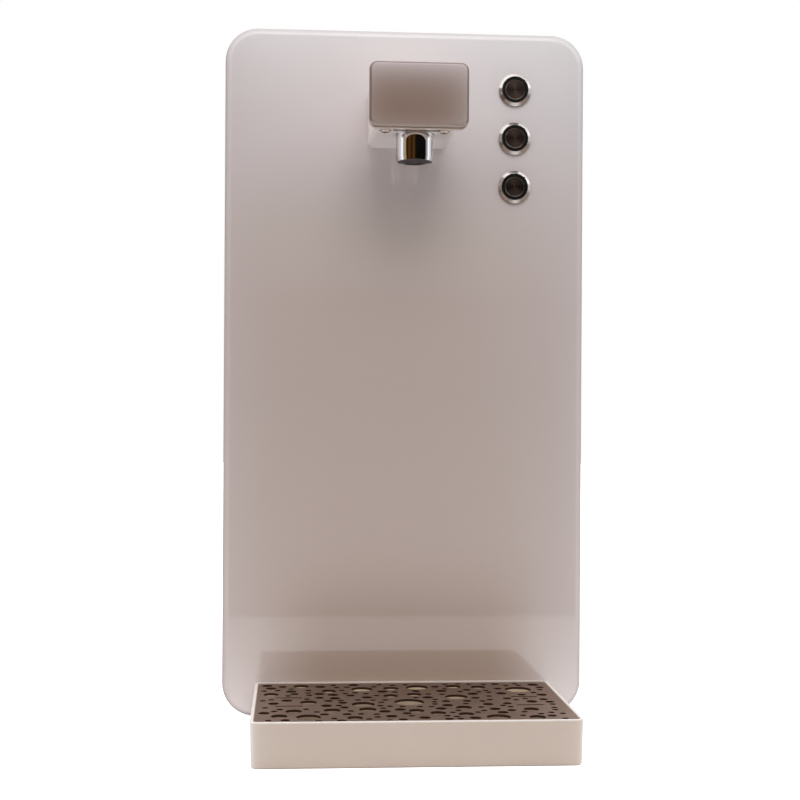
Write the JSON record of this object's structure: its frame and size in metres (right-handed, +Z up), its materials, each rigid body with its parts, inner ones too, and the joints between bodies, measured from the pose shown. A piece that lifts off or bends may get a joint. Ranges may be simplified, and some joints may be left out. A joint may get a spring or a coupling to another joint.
{
  "type": "countertop water dispenser",
  "caption": "Countertop water dispenser: rounded front plate, boxy casing, short spout with chrome nozzle, round push buttons and a drip tray with a bubble-hole plate.",
  "frame": {"origin": "on the worktop under the middle of the whole object, which is the middle of its bounding box seen from above", "axes": "+Z up; +X to the right seen from the front; the front plate, spout and drip tray face -Y; the connections are at +Y"},
  "size_m": [0.2512, 0.344, 0.4815],
  "materials": {
    "panel_acrylic": "satin back-painted acrylic",
    "frosted_acrylic": "frosted, rounded edge",
    "cream_plastic": "moulded, fine satin",
    "white_plastic": "moulded, satin",
    "casing_paint": "fine powder coat",
    "zinc_steel": "galvanised sheet",
    "stainless": "polished and turned",
    "grille_steel": "fine brushed, tinted",
    "tank_steel": "drawn sheet",
    "chrome": "mirror",
    "dark_steel": "dark, concentric turned",
    "black_plastic": "fine satin",
    "outlet_plastic": "satin",
    "rubber": "matt",
    "brass": "nickel-free, turned",
    "aluminium": "extruded",
    "foam": "foam and felt",
    "ceramic": "ceramic plates",
    "circuit_board": "laminate with parts",
    "coil": "moulded coil body",
    "hose": "silicone",
    "switch_red": "gloss",
    "switch_blue": "gloss",
    "white_fitting": "gloss"
  },
  "bodies": {
    "dispenser": {"front_panel": "panel_acrylic", "panel_frame": "zinc_steel", "casing_shell": "casing_paint", "base_plate": "zinc_steel", "rubber_feet": "rubber", "rear_cover": "casing_paint", "rear_cover_screws": "stainless", "spout_cover": "frosted_acrylic", "spout_cover_frame": "cream_plastic", "spout_housing": "white_plastic", "spout_cover_screws": "stainless", "spout_housing_screws": "zinc_steel", "nozzle_body": "chrome", "aerator_insert": "outlet_plastic", "nozzle_gasket": "rubber", "spout_elbow": "brass", "spout_nut": "brass", "button_seals": "rubber", "button_nuts": "stainless", "button_switches": "black_plastic", "inlet_fitting": "white_fitting", "drain_fitting": "black_plastic", "power_inlet": "black_plastic", "rocker_frames": "black_plastic", "cold_tank": "tank_steel", "cold_tank_jacket": "foam", "peltier_module": "ceramic", "heat_sink": "aluminium", "fan_frame": "black_plastic", "hot_tank": "tank_steel", "hot_tank_jacket": "foam", "heating_element": "stainless", "thermostats": "black_plastic", "pump_housing": "black_plastic", "pump_motor": "zinc_steel", "valve_manifold": "brass", "valve_coils": "coil", "power_supply": "zinc_steel", "control_board": "circuit_board", "water_hoses": "hose", "wiring_loom": "rubber", "button_bezel_1": "stainless", "button_ring_1": "black_plastic", "button_bezel_2": "stainless", "button_ring_2": "black_plastic", "button_bezel_3": "stainless", "button_ring_3": "black_plastic"},
    "drip_tray": {"drip_tray": "cream_plastic"},
    "drip_grille": {"drip_grille": "grille_steel"},
    "fan_rotor": {"fan_rotor": "black_plastic"},
    "pump_impeller": {"pump_impeller": "white_fitting"},
    "rocker_hot": {"rocker_hot": "switch_red"},
    "rocker_cold": {"rocker_cold": "switch_blue"},
    "drain_cap": {"drain_cap": "black_plastic"},
    "button_cap_1": {"button_cap_1": "dark_steel"},
    "valve_plunger_1": {"valve_plunger_1": "tank_steel"},
    "button_cap_2": {"button_cap_2": "dark_steel"},
    "valve_plunger_2": {"valve_plunger_2": "tank_steel"},
    "button_cap_3": {"button_cap_3": "dark_steel"},
    "valve_plunger_3": {"valve_plunger_3": "tank_steel"}
  },
  "joints": [
    {"name": "button_1_press", "type": "slide", "parent": "dispenser", "child": "button_cap_1", "axis": [0, 1, 0], "range_m": [0, 0.0018], "stiffness_N_per_m": 1200, "springref_m": -0.001},
    {"name": "button_2_press", "type": "slide", "parent": "dispenser", "child": "button_cap_2", "axis": [0, 1, 0], "range_m": [0, 0.0018], "stiffness_N_per_m": 1200, "springref_m": -0.001},
    {"name": "button_3_press", "type": "slide", "parent": "dispenser", "child": "button_cap_3", "axis": [0, 1, 0], "range_m": [0, 0.0018], "stiffness_N_per_m": 1200, "springref_m": -0.001},
    {"name": "drip_tray_slide", "type": "slide", "parent": "dispenser", "child": "drip_tray", "axis": [0, -1, 0], "range_m": [0, 0.1]},
    {"name": "grille_lift", "type": "slide", "parent": "drip_tray", "child": "drip_grille", "axis": [0, 0, 1], "range_m": [0, 0.04]},
    {"name": "fan_spin", "type": "hinge", "parent": "dispenser", "child": "fan_rotor", "pos_m": [-0.05, 0.14, 0.135], "axis": [0, 1, 0], "continuous": true},
    {"name": "pump_spin", "type": "hinge", "parent": "dispenser", "child": "pump_impeller", "pos_m": [0.034, 0.02, 0.04], "axis": [1, 0, 0], "continuous": true},
    {"name": "rocker_hot_tip", "type": "hinge", "parent": "dispenser", "child": "rocker_hot", "pos_m": [0.058, 0.153, 0.092], "axis": [1, 0, 0], "range_deg": [0, 24]},
    {"name": "rocker_cold_tip", "type": "hinge", "parent": "dispenser", "child": "rocker_cold", "pos_m": [0.092, 0.153, 0.092], "axis": [1, 0, 0], "range_deg": [0, 24]},
    {"name": "drain_cap_pull", "type": "slide", "parent": "dispenser", "child": "drain_cap", "axis": [0, 1, 0], "range_m": [0, 0.02]},
    {"name": "valve_1_lift", "type": "slide", "parent": "dispenser", "child": "valve_plunger_1", "axis": [0, 0, 1], "range_m": [0, 0.0015], "stiffness_N_per_m": 300, "springref_m": -0.002},
    {"name": "valve_2_lift", "type": "slide", "parent": "dispenser", "child": "valve_plunger_2", "axis": [0, 0, 1], "range_m": [0, 0.0015], "stiffness_N_per_m": 300, "springref_m": -0.002},
    {"name": "valve_3_lift", "type": "slide", "parent": "dispenser", "child": "valve_plunger_3", "axis": [0, 0, 1], "range_m": [0, 0.0015], "stiffness_N_per_m": 300, "springref_m": -0.002}
  ]
}
